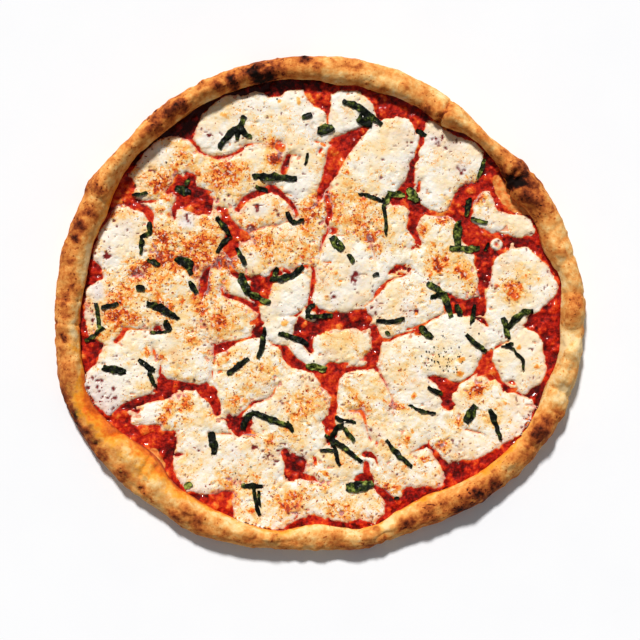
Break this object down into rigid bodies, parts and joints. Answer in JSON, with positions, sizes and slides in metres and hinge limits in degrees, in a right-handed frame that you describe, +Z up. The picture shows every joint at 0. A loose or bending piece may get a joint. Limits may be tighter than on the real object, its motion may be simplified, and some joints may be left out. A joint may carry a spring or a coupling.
{
  "type": "margherita pizza",
  "caption": "Whole uncut margherita pizza with a raised blistered bread rim, tomato sauce, melted mozzarella slices and shredded basil leaves.",
  "frame": {"origin": "middle of the flat underside of the crust", "axes": "+Z up out of the toppings, +X along the pizza's longest width, +Y across it"},
  "size_m": [0.3954, 0.3674, 0.0271],
  "materials": {
    "baked_crust": "dry baked bread, golden tan with browned and charred blisters",
    "tomato_sauce": "wet crushed tomato, deep red with orange oil",
    "melted_mozzarella": "creamy white melted cheese with golden oil stains, slightly moist",
    "basil_leaf": "dark wilted leaf, satin",
    "black_pepper": "cracked peppercorn, dry"
  },
  "bodies": {
    "root": {"crust": "baked_crust", "tomato_sauce": "tomato_sauce", "mozzarella_01": "melted_mozzarella", "mozzarella_02": "melted_mozzarella", "mozzarella_03": "melted_mozzarella", "mozzarella_04": "melted_mozzarella", "mozzarella_05": "melted_mozzarella", "mozzarella_06": "melted_mozzarella", "mozzarella_07": "melted_mozzarella", "mozzarella_08": "melted_mozzarella", "mozzarella_09": "melted_mozzarella", "mozzarella_10": "melted_mozzarella", "mozzarella_11": "melted_mozzarella", "mozzarella_12": "melted_mozzarella", "mozzarella_13": "melted_mozzarella", "mozzarella_14": "melted_mozzarella", "mozzarella_15": "melted_mozzarella", "mozzarella_16": "melted_mozzarella", "mozzarella_17": "melted_mozzarella", "mozzarella_18": "melted_mozzarella", "mozzarella_19": "melted_mozzarella", "mozzarella_20": "melted_mozzarella", "mozzarella_21": "melted_mozzarella", "mozzarella_22": "melted_mozzarella", "mozzarella_23": "melted_mozzarella", "mozzarella_24": "melted_mozzarella", "mozzarella_25": "melted_mozzarella", "mozzarella_26": "melted_mozzarella", "basil_01": "basil_leaf", "basil_02": "basil_leaf", "basil_03": "basil_leaf", "basil_04": "basil_leaf", "basil_05": "basil_leaf", "basil_06": "basil_leaf", "basil_07": "basil_leaf", "basil_08": "basil_leaf", "basil_09": "basil_leaf", "basil_10": "basil_leaf", "basil_11": "basil_leaf", "basil_12": "basil_leaf", "basil_13": "basil_leaf", "basil_14": "basil_leaf", "basil_15": "basil_leaf", "basil_16": "basil_leaf", "basil_17": "basil_leaf", "basil_18": "basil_leaf", "basil_19": "basil_leaf", "basil_20": "basil_leaf", "basil_21": "basil_leaf", "basil_22": "basil_leaf", "basil_23": "basil_leaf", "basil_24": "basil_leaf", "basil_25": "basil_leaf", "basil_26": "basil_leaf", "basil_27": "basil_leaf", "basil_28": "basil_leaf", "basil_29": "basil_leaf", "basil_30": "basil_leaf", "basil_31": "basil_leaf", "basil_32": "basil_leaf"}
  },
  "joints": []
}
